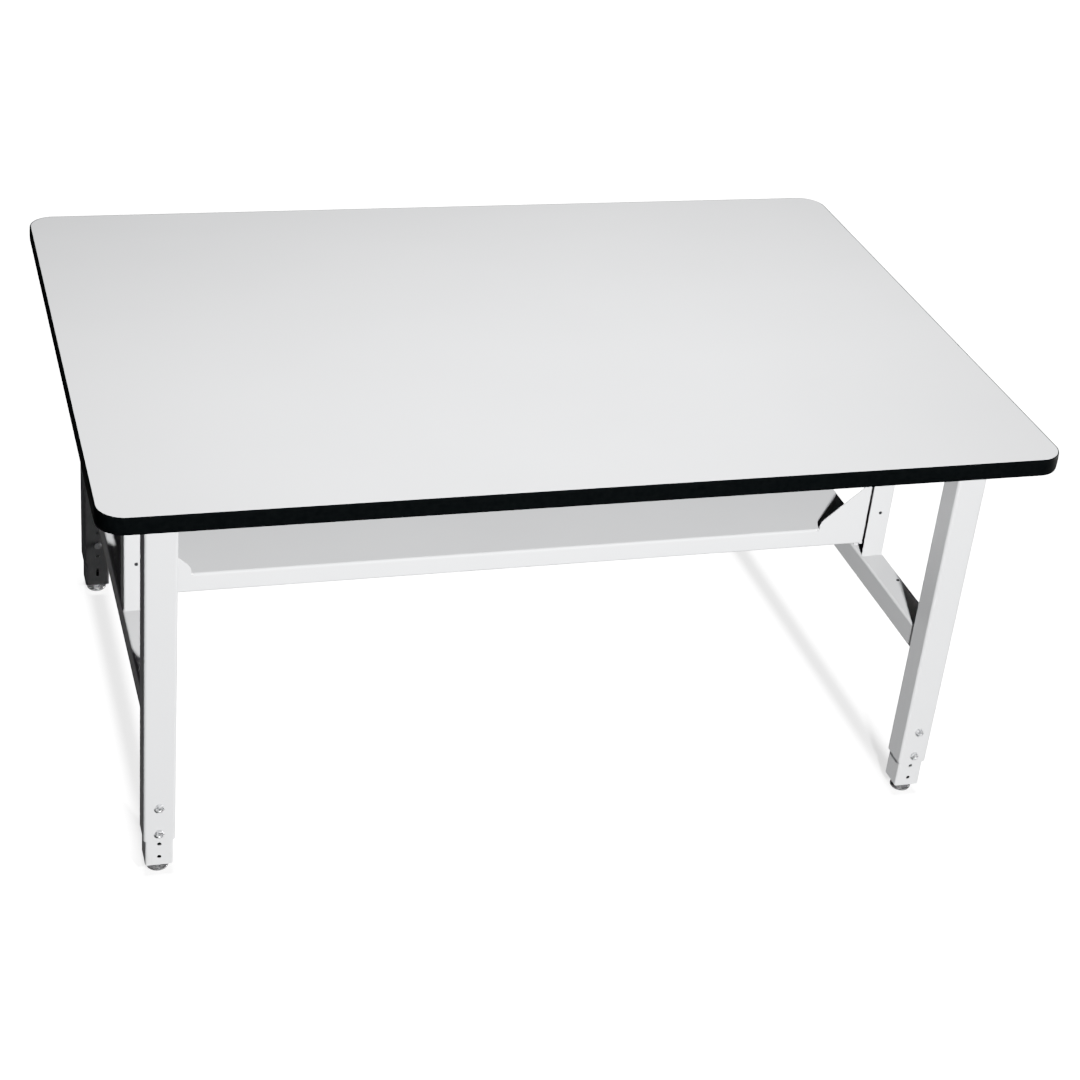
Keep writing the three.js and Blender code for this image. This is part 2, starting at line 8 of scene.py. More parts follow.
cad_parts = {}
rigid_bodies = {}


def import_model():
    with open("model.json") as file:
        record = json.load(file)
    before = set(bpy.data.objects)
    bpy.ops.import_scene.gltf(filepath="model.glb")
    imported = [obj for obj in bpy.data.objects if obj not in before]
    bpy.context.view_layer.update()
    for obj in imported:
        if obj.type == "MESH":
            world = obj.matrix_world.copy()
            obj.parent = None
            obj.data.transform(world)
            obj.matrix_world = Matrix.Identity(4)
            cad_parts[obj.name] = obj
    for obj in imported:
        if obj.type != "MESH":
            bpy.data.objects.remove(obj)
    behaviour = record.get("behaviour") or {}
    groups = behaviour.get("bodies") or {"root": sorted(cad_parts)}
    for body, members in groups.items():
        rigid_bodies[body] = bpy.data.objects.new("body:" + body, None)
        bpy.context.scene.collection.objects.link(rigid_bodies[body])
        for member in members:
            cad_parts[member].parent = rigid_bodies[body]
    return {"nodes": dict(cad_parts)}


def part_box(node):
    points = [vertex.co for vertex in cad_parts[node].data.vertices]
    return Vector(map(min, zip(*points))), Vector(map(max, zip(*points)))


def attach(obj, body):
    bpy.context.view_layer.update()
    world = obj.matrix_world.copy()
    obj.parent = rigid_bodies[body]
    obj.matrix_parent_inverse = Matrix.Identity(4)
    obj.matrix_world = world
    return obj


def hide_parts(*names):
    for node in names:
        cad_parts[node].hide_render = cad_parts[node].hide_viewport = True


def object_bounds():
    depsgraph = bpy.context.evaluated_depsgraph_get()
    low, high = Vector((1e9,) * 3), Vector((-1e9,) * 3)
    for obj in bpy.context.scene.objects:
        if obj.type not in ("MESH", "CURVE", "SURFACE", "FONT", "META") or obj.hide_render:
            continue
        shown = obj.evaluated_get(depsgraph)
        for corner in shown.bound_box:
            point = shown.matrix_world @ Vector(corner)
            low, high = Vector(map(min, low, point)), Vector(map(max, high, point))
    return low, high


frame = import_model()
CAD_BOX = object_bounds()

MM = 0.001
INCH = 0.0254
SIDES = ("left", "right")
ENDS = ("front", "rear")
CORNERS = [(end, side) for end in ENDS for side in SIDES]
SCREW_ROWS = ("front", "middle", "rear")

# ---- sizes that the frame's boxes don't give ----
BAND_THICKNESS = 3 * MM
BAND_GAP = 0.3 * MM
TONGUE_DEPTH = 9 * MM
TONGUE_THICKNESS = 2 * MM
PLAN_RADIUS = 1.75 * INCH
PLAN_SEGMENTS = 20

OUTER_TUBE = {"wall": 2.1 * MM, "radius": 5 * MM}
INNER_TUBE = {"wall": 1.9 * MM, "radius": 4 * MM}
RAIL_TUBE = {"wall": 1.9 * MM, "radius": 4 * MM}
POST_BEND = 3.5 * MM
TUBE_SEGMENTS = 8
TUBE_CHAMFER = 0.35 * MM

BOLT_HOLE = 8.6 * MM
TIP_HOLE = 5.5 * MM
HEIGHT_HOLE = 7.2 * MM
HOLE_PITCH = INCH
HEIGHT_HOLES = 11
LEVEL_SLOT = {"width": 4.5 * MM, "bottom": 40 * MM, "top": 57 * MM}
SMALL_SCREW_HOLE = 4.6 * MM
TOP_SCREW_HOLE = 5.1 * MM

WELD_RADIUS = 1.9 * MM
WELD_RIPPLE = 2.6 * MM


# ---- mesh helpers ----
def bridge(bm, loops, closed=False):
    """Quads between rings of equally many vertices; closed joins the last ring to the first."""
    pairs = list(zip(loops, loops[1:]))
    if closed:
        pairs.append((loops[-1], loops[0]))
    for low, high in pairs:
        for i in range(len(low)):
            k = (i + 1) % len(low)
            bm.faces.new((low[i], low[k], high[k], high[i]))


def rounded_rectangle(width, height, radius, segments):
    """Points anticlockwise round a rectangle centred on the origin, with round corners."""
    points = []
    for corner in range(4):
        cx = (width / 2 - radius) * (1 if corner in (0, 3) else -1)
        cy = (height / 2 - radius) * (1 if corner < 2 else -1)
        for step in range(segments + 1):
            angle = (corner + step / segments) * math.pi / 2
            points.append((cx + radius * math.cos(angle), cy + radius * math.sin(angle)))
    return points


def offset_loops(bm, size, radius, segments, profile):
    """A ring of vertices for each (offset, height) of a profile that follows a rounded rectangle."""
    loops = []
    for offset, height in profile:
        corner = max(radius + offset, 0.2 * MM)
        outline = rounded_rectangle(size[0] + 2 * offset, size[1] + 2 * offset, corner, segments)
        loops.append([bm.verts.new((x, y, height)) for x, y in outline])
    return loops


def fixed_ring(radius, height):
    return lambda angle: (radius, height)


def hexagon_radius(angle, flats):
    """Distance from the axis to the side of a hexagon, with corners at 0, 60, 120 degrees and so on."""
    from_middle = (angle % (math.pi / 3)) - math.pi / 6
    return flats / 2 / math.cos(from_middle)


def hexagon_ring(flats, height, chamfer_from=None):
    """A hexagonal ring; with chamfer_from, its corners drop as those of a turned bolt head do."""
    slope = math.tan(math.radians(30))

    def ring(angle):
        radius = hexagon_radius(angle, flats)
        drop = 0 if chamfer_from is None else max(0, radius - chamfer_from) * slope
        return radius, height - drop
    return ring


def turned(rings, around=48):
    """A closed solid about +Z, from rings that each give a radius and a height at an angle."""
    bm = bmesh.new()
    loops = []
    for ring in rings:
        loop = []
        for step in range(around):
            angle = 2 * math.pi * step / around
            radius, height = ring(angle)
            loop.append(bm.verts.new((radius * math.cos(angle), radius * math.sin(angle), height)))
        loops.append(loop)
    bridge(bm, loops)
    bm.faces.new(list(reversed(loops[0])))
    bm.faces.new(loops[-1])
    return bm


def box_mesh(low, high):
    bm = bmesh.new()
    bmesh.ops.create_cube(bm, size=1)
    scale = Matrix.Diagonal((*(high - low), 1))
    bmesh.ops.transform(bm, matrix=Matrix.Translation((low + high) / 2) @ scale, verts=bm.verts)
    return bm


def cylinder_mesh(diameter, low, high, around=32):
    """A round bar between two points that differ along one axis."""
    bm = turned([fixed_ring(diameter / 2, 0), fixed_ring(diameter / 2, (high - low).length)], around)
    turn = Vector((0, 0, 1)).rotation_difference((high - low).normalized()).to_matrix().to_4x4()
    bmesh.ops.transform(bm, matrix=Matrix.Translation(low) @ turn, verts=bm.verts)
    return bm


def merge_into(target, sources):
    """Adds the faces of several bmeshes to one, and frees them."""
    for source in sources:
        scratch = bpy.data.meshes.new("scratch")
        source.to_mesh(scratch)
        source.free()
        target.from_mesh(scratch)
        bpy.data.meshes.remove(scratch)
    return target


def mark_edges(bm, sharp_degrees=32):
    """Smooth shading that breaks at the sharp edges."""
    bmesh.ops.recalc_face_normals(bm, faces=bm.faces)
    limit = math.radians(sharp_degrees)
    for face in bm.faces:
        face.smooth = True
    for edge in bm.edges:
        edge.smooth = len(edge.link_faces) == 2 and edge.calc_face_angle(0) < limit


def to_object(name, bm):
    mesh = bpy.data.meshes.new(name)
    mark_edges(bm)
    bm.to_mesh(mesh)
    bm.free()
    obj = bpy.data.objects.new(name, mesh)
    bpy.context.scene.collection.objects.link(obj)
    return obj


def carve(obj, cutters):
    """Cuts closed meshes that don't touch each other out of an object."""
    if not cutters:
        return
    tool = to_object("cutter", merge_into(bmesh.new(), cutters))
    modifier = obj.modifiers.new("holes", "BOOLEAN")
    modifier.operation = "DIFFERENCE"
    modifier.solver = "EXACT"
    modifier.object = tool
    bake_modifiers(obj)
    bpy.data.objects.remove(tool)


def bake_modifiers(obj):
    """Puts the modifiers' result in the object's own mesh."""
    depsgraph = bpy.context.evaluated_depsgraph_get()
    mesh = bpy.data.meshes.new_from_object(obj.evaluated_get(depsgraph))
    obj.modifiers.clear()
    obj.data = mesh
    bm = bmesh.new()
    bm.from_mesh(mesh)
    bmesh.ops.remove_doubles(bm, verts=bm.verts, dist=0.005 * MM)
    mark_edges(bm)
    bm.to_mesh(mesh)
    bm.free()


def soften(obj, width, segments=2, degrees=50):
    """Rounds the sharp edges a little, and keeps the flat faces flat in shading."""
    bevel = obj.modifiers.new("edge_round", "BEVEL")
    bevel.width = width
    bevel.segments = segments
    bevel.limit_method = "ANGLE"
    bevel.angle_limit = math.radians(degrees)
    bake_modifiers(obj)


def even_shading(obj):
    weighted = obj.modifiers.new("even_shading", "WEIGHTED_NORMAL")
    weighted.keep_sharp = True
    weighted.weight = 80


def fit_out(obj, material, slot, body, *nodes):
    """Gives a piece its material, hides the CAD nodes that it stands for, and puts it on the body it rides
    on. The slot argument is not used.
    """
    obj.data.materials.clear()
    obj.data.materials.append(MATERIALS[material])
    even_shading(obj)
    if nodes:
        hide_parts(*nodes)
    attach(obj, body)
    return obj


# ---- procedural materials ----
class Shader:
    """A Principled material whose colour, roughness and bump come from noise in the object's own space."""

    def __init__(self, name, **constants):
        self.material = bpy.data.materials.new(name)
        self.material.use_nodes = True
        self.tree = self.material.node_tree
        self.surface = self.tree.nodes["Principled BSDF"]
        self.place = self.add("ShaderNodeTexCoord").outputs["Object"]
        for socket, value in constants.items():
            self.surface.inputs[socket.replace("_", " ")].default_value = value

    def add(self, kind, **settings):
        node = self.tree.nodes.new(kind)
        for key, value in settings.items():
            setattr(node, key, value)
        return node

    def link(self, source, target):
        self.tree.links.new(source, target)

    def stretched(self, scale):
        mapping = self.add("ShaderNodeMapping")
        mapping.inputs["Scale"].default_value = scale
        self.link(self.place, mapping.inputs["Vector"])
        return mapping.outputs["Vector"]

    def noise(self, scale, detail=3.0, roughness=0.55, stretch=None):
        node = self.add("ShaderNodeTexNoise")
        node.inputs["Scale"].default_value = scale
        node.inputs["Detail"].default_value = detail
        node.inputs["Roughness"].default_value = roughness
        self.link(self.stretched(stretch) if stretch else self.place, node.inputs["Vector"])
        return node.outputs["Fac"]

    def cells(self, scale, stretch=None):
        node = self.add("ShaderNodeTexVoronoi")
        node.inputs["Scale"].default_value = scale
        self.link(self.stretched(stretch) if stretch else self.place, node.inputs["Vector"])
        return node.outputs["Color"]

    def ramp(self, source, *stops):
        """A colour ramp; each stop is a place and a grey value or a colour."""
        node = self.add("ShaderNodeValToRGB")
        elements = node.color_ramp.elements
        while len(elements) < len(stops):
            elements.new(0.5)
        for element, (place, value) in zip(elements, stops):
            element.position = place
            colour = (value, value, value) if isinstance(value, (int, float)) else value
            element.color = (*colour, 1)
        self.link(source, node.inputs["Fac"])
        return node.outputs["Color"]

    def blend(self, factor, first, second, mode="MIX"):
        node = self.add("ShaderNodeMix", data_type="RGBA", blend_type=mode)
        sockets = (node.inputs["Factor"], node.inputs[6], node.inputs[7])
        for socket, value in zip(sockets, (factor, first, second)):
            if isinstance(value, bpy.types.NodeSocket):
                self.link(value, socket)
            elif isinstance(value, (int, float)):
                socket.default_value = value
            else:
                socket.default_value = (*value, 1)
        return node.outputs[2]

    def low_down(self, top):
        """1 at the floor, falling to 0 at a height."""
        parts = self.add("ShaderNodeSeparateXYZ")
        self.link(self.place, parts.inputs[0])
        fall = self.add("ShaderNodeMapRange")
        fall.inputs["From Min"].default_value = 0
        fall.inputs["From Max"].default_value = top
        fall.inputs["To Min"].default_value = 1
        fall.inputs["To Max"].default_value = 0
        self.link(parts.outputs["Z"], fall.inputs["Value"])
        return fall.outputs["Result"]

    def colour(self, source):
        self.link(source, self.surface.inputs["Base Color"])
        return self

    def gloss(self, source):
        self.link(source, self.surface.inputs["Roughness"])
        return self

    def relief(self, *layers):
        """Bump from (height, depth in metres) layers, one over the other."""
        normal = None
        for height, depth in layers:
            bump = self.add("ShaderNodeBump")
            bump.inputs["Strength"].default_value = 1
            bump.inputs["Distance"].default_value = depth
            self.link(height, bump.inputs["Height"])
            if normal is not None:
                self.link(normal, bump.inputs["Normal"])
            normal = bump.outputs["Normal"]
        self.link(normal, self.surface.inputs["Normal"])
        return self


def enamel():
    """Stoved white-grey enamel: orange peel, slight cloudiness, powder grain, and scuffs low on the legs."""
    shader = Shader("white_enamel", Coat_Weight=0.08, Coat_Roughness=0.25, Specular_IOR_Level=0.35)
    clouds = shader.ramp(shader.noise(4.0, 4), (0.3, (0.785, 0.795, 0.808)), (0.7, (0.815, 0.825, 0.836)))
    grain = shader.ramp(shader.noise(1500.0, 2), (0.3, 0.9), (0.6, 1.0))
    paint = shader.blend(0.35, clouds, grain, "MULTIPLY")
    scuffs = shader.ramp(shader.noise(60.0, 6, 0.7, (1, 1, 0.35)), (0.56, 0.0), (0.74, 1.0))
    worn = shader.blend(shader.low_down(0.1), (0, 0, 0), scuffs)
    shader.colour(shader.blend(worn, paint, (0.66, 0.66, 0.65)))
    shader.gloss(shader.ramp(shader.noise(22.0, 5, 0.6), (0.3, 0.36), (0.75, 0.48)))
    return shader.relief((shader.noise(330.0, 2), 0.02 * MM), (shader.noise(35.0, 3), 0.06 * MM)).material


def laminate():
    """Matt high-pressure laminate: pale grey-white with a fine fleck, faint wipe marks and a suede grain."""
    shader = Shader("worktop_laminate_face", Specular_IOR_Level=0.25)
    ground = shader.ramp(shader.noise(1.6, 3), (0.3, (0.715, 0.722, 0.732)), (0.7, (0.745, 0.752, 0.762)))
    fleck = shader.ramp(shader.noise(750.0, 3, 0.7), (0.3, 0.86), (0.45, 1.0))
    shader.colour(shader.blend(0.4, ground, fleck, "MULTIPLY"))
    wipes = shader.noise(9.0, 6, 0.62, (0.25, 1.6, 1))
    shader.gloss(shader.ramp(wipes, (0.3, 0.36), (0.7, 0.5)))
    return shader.relief((shader.noise(1100.0, 3), 0.02 * MM), (shader.noise(160.0, 2), 0.02 * MM)).material


def edge_plastic():
    """Black moulded edging: fine pebble, rubbed a little along its length."""
    shader = Shader("black_edging", Specular_IOR_Level=0.04)
    mottled = shader.noise(140.0, 4)
    shader.colour(shader.ramp(mottled, (0.3, (0.0010, 0.0014, 0.0016)), (0.75, (0.0022, 0.0028, 0.0030))))
    rubbed = shader.noise(30.0, 6, 0.7, (0.15, 0.15, 6))
    shader.gloss(shader.ramp(rubbed, (0.35, 0.42), (0.7, 0.6)))
    return shader.relief((shader.noise(700.0, 3), 0.05 * MM)).material


def backing():
    """The dark balancing sheet under the worktop: mottled kraft melamine."""
    shader = Shader("backing_sheet")
    mottled = shader.noise(70.0, 6, 0.65)
    shader.colour(shader.ramp(mottled, (0.3, (0.028, 0.026, 0.026)), (0.7, (0.062, 0.058, 0.056))))
    shader.gloss(shader.ramp(shader.noise(14.0, 4), (0.3, 0.45), (0.7, 0.65)))
    return shader.relief((shader.noise(500.0, 3), 0.04 * MM)).material


def chipboard():
    """Pressed wood chips in several browns."""
    shader = Shader("raw_chipboard", Roughness=0.9)
    chips = shader.cells(260.0, (1, 0.4, 3))
    tone = shader.ramp(chips, (0.1, (0.30, 0.19, 0.10)), (0.5, (0.52, 0.37, 0.21)), (0.9, (0.68, 0.53, 0.34)))
    shader.colour(tone)
    return shader.relief((chips, 0.3 * MM), (shader.noise(900.0, 3), 0.1 * MM)).material


def plated(name, metallic, dark, bright, smooth, rough, grain=None):
    """Plated metal with cloudy plating and fine polishing or turning marks."""
    shader = Shader(name, Metallic=metallic)
    shader.colour(shader.ramp(shader.noise(90.0, 4), (0.3, dark), (0.7, bright)))
    shader.gloss(shader.ramp(shader.noise(240.0, 5, 0.65, grain), (0.3, smooth), (0.75, rough)))
    return shader.relief((shader.noise(1500.0, 2, 0.5, grain), 0.006 * MM)).material


MATERIALS = {
    "enamel": enamel(),
    "laminate": laminate(),
    "edge_band": edge_plastic(),
    "backer": backing(),
    "chipboard": chipboard(),
    "zinc": plated("zinc_plate", 0.6, (0.60, 0.61, 0.63), (0.78, 0.79, 0.81), 0.25, 0.4),
    "chrome": plated("bright_nickel", 0.88, (0.74, 0.74, 0.75), (0.88, 0.88, 0.89), 0.14, 0.28, (1, 1, 8)),
    "steel": plated("dark_steel", 0.9, (0.10, 0.10, 0.11), (0.24, 0.24, 0.25), 0.35, 0.55),
}


# ---- worktop ----
def box_size(node):
    low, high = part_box(node)
    return high - low


def plan_solid(name, node, profile_of, closed):
    """A slab or ring that follows the worktop's plan, sized by a node's box."""
    low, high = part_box("worktop_core")
    size = (high.x - low.x, high.y - low.y)
    bottom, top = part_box(node)[0].z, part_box(node)[1].z
    bm = bmesh.new()
    radius = PLAN_RADIUS - BAND_THICKNESS
    loops = offset_loops(bm, size, radius, PLAN_SEGMENTS, profile_of(bottom, top))
    bridge(bm, loops, closed)
    if not closed:
        bm.faces.new(list(reversed(loops[0])))
        bm.faces.new(loops[-1])
    return to_object(name, bm)


def slab_profile(edge):
    return lambda bottom, top: [(-edge, bottom), (0, bottom + edge), (0, top - edge), (-edge, top)]


def band_profile(bottom, top):
    """The band's section: a domed face with small round lips, and a barbed tongue in the core's groove."""
    middle = (bottom + top) / 2
    half = (top - bottom) / 2
    lip = 0.9 * MM
    crown = 0.5 * MM
    face = []
    for step in range(-8, 9):
        across = step / 8
        dome = BAND_THICKNESS - crown * across * across
        face.append((dome - (lip * 0.35 if abs(across) == 1 else 0), middle + across * (half - lip)))
    corner = [
        (BAND_THICKNESS - crown - lip * 0.65, half - lip * 0.25),
        (BAND_THICKNESS - crown - lip * 1.4, half),
    ]
    upper = [(offset, middle + height) for offset, height in corner]
    lower = [(offset, middle - height) for offset, height in reversed(corner)]
    tongue = []
    thick = TONGUE_THICKNESS / 2
    for root in (0, 3, 6):
        near = -root * MM
        tongue.append((near if root else BAND_GAP, middle + thick * 0.6))
        tongue.append((near - 2.4 * MM, middle + thick))
    tip = [(-TONGUE_DEPTH, middle + thick * 0.4)]
    outward = tongue + tip
    inward = [(offset, 2 * middle - height) for offset, height in reversed(outward)]
    return lower + face + upper + [(BAND_GAP, top)] + outward + inward + [(BAND_GAP, bottom)]


def make_worktop():
    face = plan_solid("worktop_face", "worktop_laminate", slab_profile(0.25 * MM), closed=False)
    fit_out(face, "laminate", "laminate", "table", "worktop_laminate")
    band = plan_solid("edge_moulding", "edge_banding", band_profile, closed=True)
    fit_out(band, "edge_band", "edge_band", "table", "edge_banding")
    backer = plan_solid("underside_sheet", "worktop_backer", slab_profile(0.1 * MM), closed=False)
    carve(backer, [screw_hole(row, side, "worktop_backer") for side in SIDES for row in SCREW_ROWS])
    fit_out(backer, "backer", "backer", "table", "worktop_backer")


def screw_hole(row, side, node):
    middle = centre(f"top_screw_{row}_{side}")
    low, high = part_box(node)
    bottom = Vector((middle.x, middle.y, low.z - MM))
    top = Vector((middle.x, middle.y, high.z + MM))
    return cylinder_mesh(TOP_SCREW_HOLE, bottom, top)


def centre(node):
    low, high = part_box(node)
    return (low + high) / 2


# ---- square tubes ----
def tube_object(name, node, tube, axis):
    """A square tube with round corners and chamfered ends, filling a node's box along an axis."""
    low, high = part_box(node)
    length = (high - low)[axis]
    size = (high - low)[0]
    half = length / 2
    wall, edge = tube["wall"], TUBE_CHAMFER
    profile = [
        (0, edge - half), (0, half - edge), (-edge, half), (edge - wall, half),
        (-wall, half - edge), (-wall, edge - half), (edge - wall, -half), (-edge, -half),
    ]
    bm = bmesh.new()
    bridge(bm, offset_loops(bm, (size, size), tube["radius"], TUBE_SEGMENTS, profile), closed=True)
    turn = Matrix.Rotation(-math.pi / 2, 4, "X") if axis == 1 else Matrix.Identity(4)
    bmesh.ops.transform(bm, matrix=Matrix.Translation((low + high) / 2) @ turn, verts=bm.verts)
    return to_object(name, bm)


def hole_through(point, direction, wall, diameter, around=32):
    """A cutter across one wall, centred on a point of its face."""
    reach = direction * (2 * wall)
    return cylinder_mesh(diameter, point - reach, point + reach, around)


def finish_tube(obj, cutters, body, node):
    carve(obj, cutters)
    soften(obj, 0.3 * MM)
    fit_out(obj, "enamel", "enamel", body, node)


def make_outer_leg(where, outward):
    node = f"outer_leg_{where}"
    middle = centre(node)
    half = box_size(node).x / 2
    wall = OUTER_TUBE["wall"]
    cutters = []
    for level in ("lower", "upper"):
        z = centre(f"height_bolt_{level}_{where}").z
        near = Vector((middle.x, middle.y + outward.y * half, z))
        far = Vector((middle.x, middle.y - outward.y * half, z))
        cutters.append(hole_through(near, outward, wall, BOLT_HOLE))
        cutters.append(hole_through(far, outward, wall, TIP_HOLE))
    clamp = Vector((middle.x, middle.y - outward.y * half, centre(f"clamp_bolt_{where}").z))
    cutters.append(hole_through(clamp, outward, wall, BOLT_HOLE))
    finish_tube(tube_object(f"leg_tube_{where}", node, OUTER_TUBE, 2), cutters, "table", node)


def make_inner_leg(where, outward):
    node = f"inner_leg_{where}"
    middle = centre(node)
    half = box_size(node).x / 2
    wall = INNER_TUBE["wall"]
    first = centre(f"height_bolt_lower_{where}").z - 2 * HOLE_PITCH
    cutters = []
    for step in range(HEIGHT_HOLES):
        point = Vector((middle.x, middle.y + outward.y * half, first + step * HOLE_PITCH))
        cutters.append(hole_through(point, outward, wall, HEIGHT_HOLE))
    slot_half = Vector((LEVEL_SLOT["width"] / 2, 2 * wall, 0))
    slot_y = middle.y - outward.y * half
    low = Vector((middle.x, slot_y, LEVEL_SLOT["bottom"])) - slot_half
    high = Vector((middle.x, slot_y, LEVEL_SLOT["top"])) + slot_half
    cutters.append(box_mesh(low, high))
    finish_tube(tube_object(f"telescope_tube_{where}", node, INNER_TUBE, 2), cutters, f"leg_{where}", node)


def make_side_frame(side):
    rail = tube_object(f"lower_rail_{side}", f"side_rail_{side}", RAIL_TUBE, 1)
    screw = centre(f"rail_screw_{side}")
    top = Vector((screw.x, screw.y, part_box(f"side_rail_{side}")[1].z))
    up = Vector((0, 0, 1))
    hole = hole_through(top, up, RAIL_TUBE["wall"], SMALL_SCREW_HOLE)
    finish_tube(rail, [hole], "table", f"side_rail_{side}")
    upper = tube_object(f"upper_rail_{side}", f"top_rail_{side}", RAIL_TUBE, 1)
    finish_tube(upper, [], "table", f"top_rail_{side}")


# ---- pieces whose CAD shape is right: the same shape with rounded edges ----
def refined(name, node, material, slot, body, edge=0.3 * MM):
    """A copy of a CAD node's shape with its facets joined and its sharp edges rounded."""
    bm = bmesh.new()
    bm.from_mesh(frame["nodes"][node].data)
    bmesh.ops.remove_doubles(bm, verts=bm.verts, dist=0.002 * MM)
    bmesh.ops.dissolve_limit(bm, angle_limit=math.radians(0.6), verts=bm.verts, edges=bm.edges)
    obj = to_object(name, bm)
    soften(obj, edge)
    return fit_out(obj, material, slot, body, node)


# ---- welds ----
def weld_bead(path, middle, axis, closed=True):
    """A rippled bead along a path in a plane, where a tube meets a face; axis is the tube's direction."""
    points = []
    for i, start in enumerate(path if closed else path[:-1]):
        end = path[(i + 1) % len(path)]
        steps = max(1, round(math.dist(start, end) / (WELD_RIPPLE / 3)))
        for step in range(steps):
            points.append(Vector((*start, 0)).lerp(Vector((*end, 0)), step / steps))
    bm = bmesh.new()
    loops = []
    section = 8
    run = 0
    for i, point in enumerate(points):
        away = point.normalized()
        bead = WELD_RADIUS * (1 + 0.13 * math.sin(2 * math.pi * run / WELD_RIPPLE))
        if not closed and i in (0, len(points) - 1):
            bead *= 0.4
        loop = []
        for k in range(section):
            angle = 2 * math.pi * k / section
            offset = away * (bead * math.cos(angle)) + Vector((0, 0, bead * math.sin(angle)))
            loop.append(bm.verts.new(point + offset))
        loops.append(loop)
        run += (points[(i + 1) % len(points)] - point).length
    bridge(bm, loops, closed)
    if not closed:
        bm.faces.new(list(reversed(loops[0])))
        bm.faces.new(loops[-1])
    turn = Matrix.Rotation(-math.pi / 2, 4, "X") if axis == 1 else Matrix.Identity(4)
    bmesh.ops.transform(bm, matrix=Matrix.Translation(middle) @ turn, verts=bm.verts)
    return bm


def make_welds(side):
    beads = []
    for node in (f"side_rail_{side}", f"top_rail_{side}"):
        low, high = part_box(node)
        middle = (low + high) / 2
        size = high.x - low.x - WELD_RADIUS
        outline = rounded_rectangle(size, size, RAIL_TUBE["radius"], 10)
        for y in (low.y, high.y):
            beads.append(weld_bead(outline, Vector((middle.x, y, middle.z)), 1))
    low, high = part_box(f"stringer_post_{side}")
    middle = (low + high) / 2
    size = high.x - low.x - WELD_RADIUS
    outline = rounded_rectangle(size, size, POST_BEND, 10)
    outward = -1 if side == "left" else 1
    # The post's open side has no bead: the path starts and ends at its two lips.
    closed_part = [point for point in outline if point[0] * outward > 0]
    closed_part.sort(key=lambda point: math.atan2(point[1], point[0] * outward))
    lips = [(-outward * size / 2, closed_part[0][1]), (-outward * size / 2, closed_part[-1][1])]
    path = [lips[0], *closed_part, lips[1]]
    for z in (low.z, high.z):
        beads.append(weld_bead(path, Vector((middle.x, middle.y, z)), 2, closed=False))
    obj = to_object(f"frame_welds_{side}", merge_into(bmesh.new(), beads))
    fit_out(obj, "enamel", "enamel", "table")


# ---- fasteners ----
def hex_bolt(flats, head, shank, grip):
    """A hexagon bolt with a turned chamfer and a washer face; the head's underside is at z = 0."""
    tip = 0.8 * MM
    washer = 0.4 * MM
    face = flats * 0.47
    return turned([
        fixed_ring(shank / 2 - tip, -grip),
        fixed_ring(shank / 2, tip - grip),
        fixed_ring(shank / 2, 0),
        fixed_ring(face, 0),
        fixed_ring(face, washer),
        hexagon_ring(flats - 0.4 * MM, washer),
        hexagon_ring(flats, washer + 0.2 * MM),
        hexagon_ring(flats, head - 0.15 * MM, face),
        hexagon_ring(flats * 0.985, head, face * 0.985),
        fixed_ring(face * 0.97, head),
        fixed_ring(face * 0.6, head),
        fixed_ring(face * 0.55, head - 0.25 * MM),
    ])


def pan_screw(head, height, shank, grip):
    """A pan-head screw with a cross recess; the head's underside is at z = 0."""
    dome = []
    for step in range(7):
        angle = step / 6 * math.pi / 2
        radius = head / 2 * (0.35 + 0.65 * math.cos(angle))
        dome.append(fixed_ring(radius, height * (0.35 + 0.65 * math.sin(angle))))
    bm = turned([
        fixed_ring(shank * 0.1, -grip),
        fixed_ring(shank / 2, shank * 0.6 - grip),
        fixed_ring(shank / 2, 0),
        fixed_ring(head / 2, 0),
        *dome,
    ])
    obj = to_object("screw_pattern", bm)
    arm = Vector((head * 0.23, head * 0.05, 0))
    base = Vector((0, 0, height * 0.45))
    lift = Vector((0, 0, height * 2))
    carve(obj, [box_mesh(base - arm, lift + arm)])
    arm = arm.yxz
    carve(obj, [box_mesh(base - arm, lift + arm)])
    bm = bmesh.new()
    bm.from_mesh(obj.data)
    bpy.data.objects.remove(obj)
    return bm


def seat_fastener(name, pattern, facing, head_height, node, material, body="table"):
    """Puts a fastener where its CAD node is, with its head facing a direction."""
    low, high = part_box(node)
    middle = (low + high) / 2
    axis = max(range(3), key=lambda i: abs(facing[i]))
    seat = middle.copy()
    seat[axis] = (high[axis] if facing[axis] > 0 else low[axis]) - facing[axis] * head_height
    turn = Vector((0, 0, 1)).rotation_difference(facing).to_matrix().to_4x4()
    bm = pattern.copy()
    bmesh.ops.transform(bm, matrix=Matrix.Translation(seat) @ turn, verts=bm.verts)
    return fit_out(to_object(name, bm), material, material, body, node)


HEIGHT_BOLT_HEAD = 6 * MM
STRINGER_BOLT_HEAD = 4 * MM
TOP_SCREW_HEAD = 3 * MM
SMALL_SCREW_HEAD = 1.6 * MM


def make_leg_bolts(where, outward):
    node = f"height_bolt_lower_{where}"
    grip = box_size(node).y - HEIGHT_BOLT_HEAD
    pattern = hex_bolt(box_size(node).x, HEIGHT_BOLT_HEAD, 8 * MM, grip)
    for level in ("lower", "upper"):
        node = f"height_bolt_{level}_{where}"
        seat_fastener(f"leg_bolt_{level}_{where}", pattern, outward, HEIGHT_BOLT_HEAD, node, "zinc")
    node = f"clamp_bolt_{where}"
    seat_fastener(f"lock_bolt_{where}", pattern, -outward, HEIGHT_BOLT_HEAD, node, "zinc")
    pattern.free()


